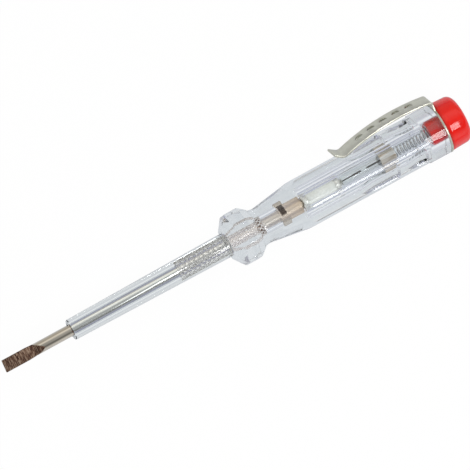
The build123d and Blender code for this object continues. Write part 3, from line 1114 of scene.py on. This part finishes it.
# Floor: white paper, which keeps a faint shadow. Metal and clear plastic show it in these tones, by the
# distance from the tool's axis in mm: a painted shadow under the tool, white beyond it and darker again
# further out.
floor_size = 4000 * mm
glow_share_seen = 0.97
glow_share_in_gloss = 0.85
white = (1, 1, 1, 1)
floor_tones_with_painted_shadow = (
    (0, "#dadde0"),
    (4, "#d9dcdf"),
    (7, "#ccced5"),
    (12, "#ced0d8"),
    (20, "#f2f4f6"),
    (40, "#e4e6ec"),
    (110, "#989cae"),
)


def add_floor():
    """The floor, white to the camera, with its tones and a painted shadow under the tool to gloss and clear
    plastic.
    """
    bpy.ops.mesh.primitive_plane_add(size=floor_size, location=(middle.x, 0, table_height))
    floor = bpy.context.object
    floor.name = "floor"
    material, tree = new_material("white_paper")
    path = add_node(tree, "ShaderNodeLightPath")
    in_gloss = add_node(
        tree,
        "ShaderNodeMath",
        {0: path.outputs["Is Glossy Ray"], 1: path.outputs["Is Transmission Ray"]},
        operation="MAXIMUM",
    )
    gloss_share = add_node(
        tree, "ShaderNodeMath", {0: in_gloss.outputs[0], 1: glow_share_in_gloss}, operation="MULTIPLY"
    )
    seen_share = add_node(
        tree, "ShaderNodeMath", {0: path.outputs["Is Camera Ray"], 1: glow_share_seen}, operation="MULTIPLY"
    )
    share = add_node(
        tree, "ShaderNodeMath", {0: gloss_share.outputs[0], 1: seen_share.outputs[0]}, operation="MAXIMUM"
    )
    coordinates = add_node(tree, "ShaderNodeTexCoord").outputs["Object"]
    place = add_node(tree, "ShaderNodeSeparateXYZ", {"Vector": coordinates})
    off_axis = add_node(tree, "ShaderNodeMath", {0: place.outputs["Y"]}, operation="ABSOLUTE").outputs[0]
    # Gloss and clear plastic see a painted shadow on the floor under the tool
    tone_with_painted_shadow = tones_along(tree, off_axis, floor_tones_with_painted_shadow, mm)
    tone = add_node(
        tree,
        "ShaderNodeMix",
        {0: path.outputs["Is Camera Ray"], 6: tone_with_painted_shadow, 7: white},
        data_type="RGBA",
    )
    paper = add_node(tree, "ShaderNodeBsdfDiffuse", {"Color": linear("#f2f2f2")})
    glow = add_node(tree, "ShaderNodeEmission", {"Color": tone.outputs[2], "Strength": 1})
    mixed = add_node(
        tree,
        "ShaderNodeMixShader",
        {0: share.outputs[0], 1: paper.outputs["BSDF"], 2: glow.outputs["Emission"]},
    )
    add_node(tree, "ShaderNodeOutputMaterial", {"Surface": mixed.outputs["Shader"]})
    floor.data.materials.append(material)


add_floor()


# World: a studio seen around the tool's axis, from the horizon below it in the photograph over the
# top to the horizon above it. Angles are in degrees from straight up.
studio_around = (
    (-90, "#ffffff"),
    (-74, "#ffffff"),
    (-64, "#d8d8d8"),
    (-52, "#8a8a8a"),
    (-42, "#777777"),
    (-33, "#9c9c9c"),
    (-22, "#bababa"),
    (-12, "#a4a4a4"),
    (-3, "#9a9a9a"),
    (5, "#bcbcbc"),
    (14, "#e2e1de"),
    (22, "#f2f0ec"),
    (27, "#fffcf6"),
    (40, "#fffaf2"),
    (47, "#c8c4be"),
    (57, "#bcb8b2"),
    (74, "#c6c2bc"),
    (90, "#d4d0ca"),
)
# What the clear plastic shows of the horizon: the dim room beside the lamps. It begins this far from
# straight up and is full at the second angle.
horizon_in_clear = "#a2a3b6"
horizon_begins = math.radians(50)
horizon_full = math.radians(64)


def add_world():
    """The studio round the tool: white to the camera, and its tones to gloss and clear plastic."""
    world = bpy.data.worlds.new("studio")
    bpy.context.scene.world = world
    world.use_nodes = True
    tree = world.node_tree
    tree.nodes.clear()
    direction = add_node(tree, "ShaderNodeTexCoord").outputs["Generated"]
    parts = add_node(tree, "ShaderNodeSeparateXYZ", {"Vector": direction})
    angle = add_node(
        tree, "ShaderNodeMath", {0: parts.outputs["Y"], 1: parts.outputs["Z"]}, operation="ARCTAN2"
    ).outputs[0]
    colour = tones_along(tree, angle, studio_around, math.radians(1))
    path = add_node(tree, "ShaderNodeLightPath")
    off_top = add_node(tree, "ShaderNodeMath", {0: angle}, operation="ABSOLUTE").outputs[0]
    near_horizon = add_node(
        tree,
        "ShaderNodeMapRange",
        {"Value": off_top, "From Min": horizon_begins, "From Max": horizon_full},
    )
    horizon_share = add_node(
        tree,
        "ShaderNodeMath",
        {0: near_horizon.outputs["Result"], 1: path.outputs["Is Transmission Ray"]},
        operation="MULTIPLY",
    )
    colour = add_node(
        tree,
        "ShaderNodeMix",
        {0: horizon_share.outputs[0], 6: colour, 7: linear(horizon_in_clear)},
        data_type="RGBA",
    ).outputs[2]
    shown = add_node(
        tree,
        "ShaderNodeMix",
        {0: path.outputs["Is Camera Ray"], 6: colour, 7: white},
        data_type="RGBA",
    )
    background = add_node(tree, "ShaderNodeBackground", {"Color": shown.outputs[2], "Strength": 1})
    add_node(tree, "ShaderNodeOutputWorld", {"Surface": background.outputs["Background"]})


add_world()

# Lamps, each placed by the stations between which the round of the tool mirrors it to the camera.
# The front one and the main one meet on the collar.
lamp_distance = 700 * mm
lamps_meet = 71.7 * mm


def add_softbox(name, angles, stations, brightness, in_gloss=True, in_clear=False):
    """A soft lamp between two angles about the tool's axis, in degrees from the camera downwards.

    A mirrored view spreads on its way to the lamp, so the lamp reaches further than its stations.
    """
    mirrored = Vector((-to_camera.x, to_camera.y, to_camera.z))
    angle = math.radians(sum(angles) / 2)
    way = math.cos(angle) * mirrored - math.sin(angle) * across
    spread = 1 + lamp_distance / camera_distance
    front, rear = (middle.x + (station - middle.x) * spread for station in stations)
    data = bpy.data.lights.new(name, "AREA")
    data.shape = "RECTANGLE"
    data.size = rear - front
    data.size_y = 2 * lamp_distance * math.tan(math.radians(angles[1] - angles[0]) / 2)
    data.energy = brightness * math.pi * data.size * data.size_y
    lamp = bpy.data.objects.new(name, data)
    lamp.visible_glossy = in_gloss
    lamp.visible_transmission = in_clear
    bpy.context.scene.collection.objects.link(lamp)
    lamp.location = Vector(((front + rear) / 2, 0, 0)) + way * lamp_distance
    side = way.cross(Vector((1, 0, 0))).normalized()
    lamp.rotation_euler = Matrix((side.cross(way), side, way)).transposed().to_euler()


add_softbox("main_softbox", angles=(12, 39), stations=(lamps_meet, 200 * mm), brightness=10)
add_softbox(
    "rod_strip",
    angles=(16, 23),
    stations=(lamps_meet, 92 * mm),
    brightness=18,
    in_gloss=False,
    in_clear=True,
)
add_softbox(
    "front_softbox",
    angles=(10, 32),
    stations=(39 * mm, lamps_meet),
    brightness=1.3,
    in_clear=True,
)
add_softbox(
    "fill_light",
    angles=(-50, 50),
    stations=(-300 * mm, 400 * mm),
    brightness=0.5,
    in_gloss=False,
)

scene = bpy.context.scene
scene.view_settings.view_transform = "Standard"
scene.cycles.max_bounces = 32
scene.cycles.transmission_bounces = 32
scene.cycles.glossy_bounces = 12
scene.cycles.transparent_max_bounces = 32
scene.cycles.caustics_reflective = False
scene.cycles.caustics_refractive = False
